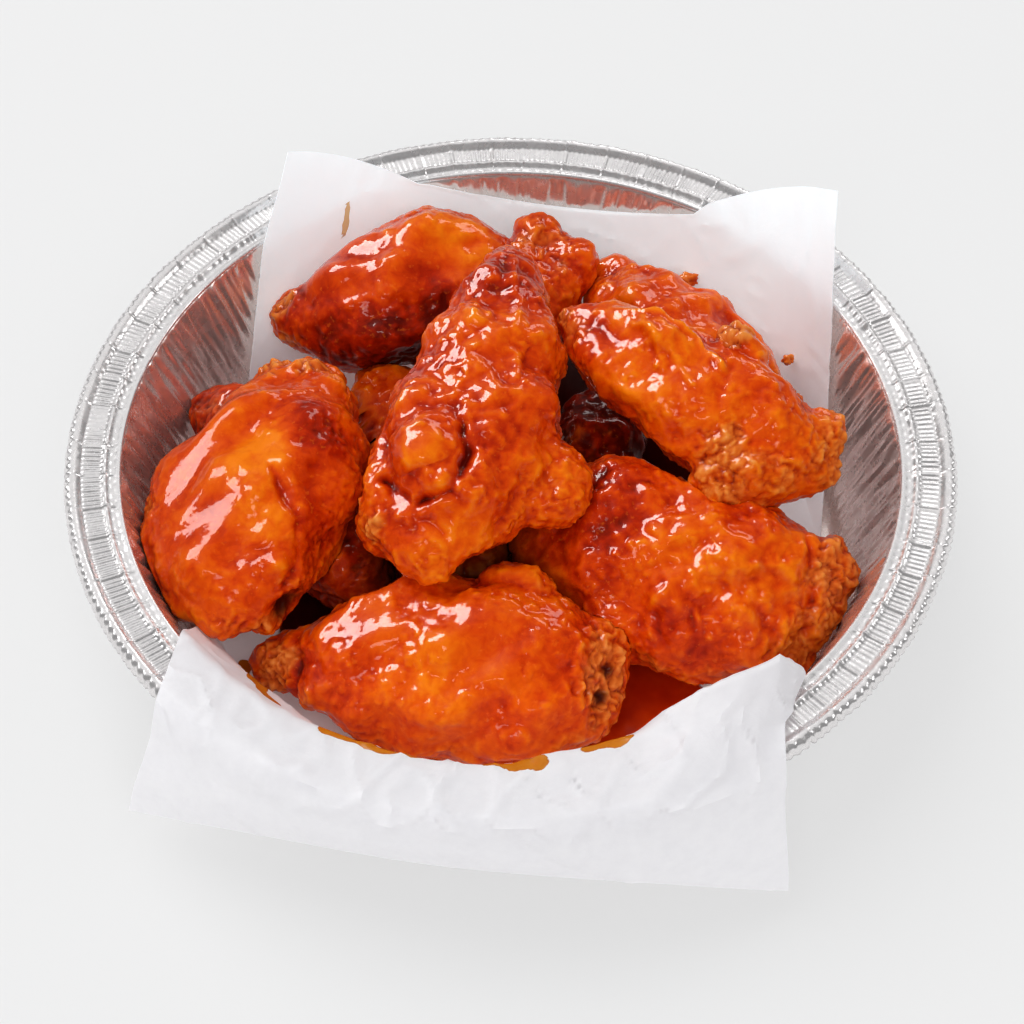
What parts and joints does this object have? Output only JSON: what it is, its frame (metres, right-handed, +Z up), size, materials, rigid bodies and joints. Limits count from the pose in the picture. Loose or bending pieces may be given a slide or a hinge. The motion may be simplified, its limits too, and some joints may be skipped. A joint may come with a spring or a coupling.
{
  "type": "chicken wings serving",
  "caption": "Sauced fried chicken wings heaped on a strip of deli paper in a round foil pan.",
  "frame": {"origin": "centre of the pan's flat base, on the surface that it stands on", "axes": "+Z up out of the pan; -Y towards the side where the paper's long flap hangs over the rim; +X to the right"},
  "size_m": [0.2164, 0.2206, 0.0646],
  "materials": {
    "foil": "bright",
    "paper": "matt",
    "glazed_crust": "gloss"
  },
  "bodies": {
    "root": {"foil_pan": "foil", "deli_paper": "paper", "wing_top": "glazed_crust", "wing_left": "glazed_crust", "wing_right": "glazed_crust", "wing_front": "glazed_crust", "wing_front_right": "glazed_crust", "wing_back_left": "glazed_crust", "wing_back": "glazed_crust", "wing_back_right": "glazed_crust", "wing_low_left": "glazed_crust", "wing_low_middle": "glazed_crust", "wing_low_right": "glazed_crust"}
  },
  "joints": []
}
